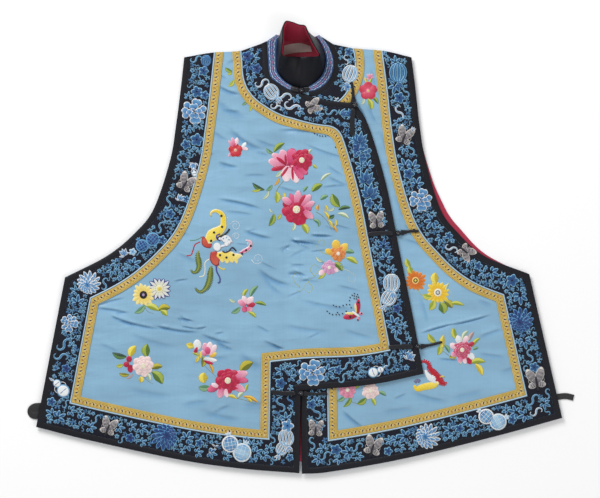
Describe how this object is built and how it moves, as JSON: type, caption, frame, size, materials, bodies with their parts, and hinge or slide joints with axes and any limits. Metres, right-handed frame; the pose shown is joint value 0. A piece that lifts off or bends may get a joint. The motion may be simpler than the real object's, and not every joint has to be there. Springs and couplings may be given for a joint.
{
  "type": "embroidered waistcoat",
  "caption": "Flat-laid blue silk waistcoat, front up, with a crossing cut-away lapel, embroidered dark borders, ribbon trim, standing collar and knotted loop closures.",
  "frame": {"origin": "centre of the footprint, on the surface that the back rests on", "axes": "+X across the garment towards the lapel's closing side, +Y from hem to neck, +Z out of the front"},
  "size_m": [0.8219, 0.6763, 0.0501],
  "materials": {
    "silk": "light blue silk satin, softly shining",
    "lining": "crimson silk lining, plain weave",
    "satin": "black silk satin",
    "border_silk": "midnight blue silk with blue and white satin stitch",
    "piping": "pale blue satin piping",
    "ribbon": "yellow woven ribbon with small dark figures",
    "braid": "blue, white and pink woven braid",
    "label": "blank ivory woven tape",
    "cord": "rolled black satin cord",
    "tie": "black ribbon"
  },
  "bodies": {
    "root": {"back": "silk", "back_lining": "lining", "binding_left": "satin", "binding_neck_right": "satin", "binding_right": "satin", "border_armhole_left": "border_silk", "border_armhole_right": "border_silk", "border_hem_left": "border_silk", "border_hem_right": "border_silk", "border_lapel_left": "border_silk", "border_neck_left": "border_silk", "border_neck_right": "border_silk", "border_side_left": "border_silk", "border_side_right": "border_silk", "border_slit_left": "border_silk", "border_slit_right": "border_silk", "border_step_left": "border_silk", "braid_left": "braid", "braid_right": "braid", "collar": "satin", "collar_lining": "lining", "front_left": "silk", "front_right": "silk", "knot_chest": "cord", "knot_neck": "cord", "knot_slit": "cord", "knot_top": "cord", "knot_waist": "cord", "label": "label", "loop_chest": "cord", "loop_neck": "cord", "loop_slit": "cord", "loop_top": "cord", "loop_waist": "cord", "piping_left": "piping", "piping_neck_right": "piping", "piping_right": "piping", "ribbon_left": "ribbon", "ribbon_neck_right": "ribbon", "ribbon_right": "ribbon", "strap_chest": "cord", "strap_neck": "cord", "strap_slit": "cord", "strap_top": "cord", "strap_waist": "cord", "tie_left": "tie", "tie_right": "tie"}
  },
  "joints": []
}
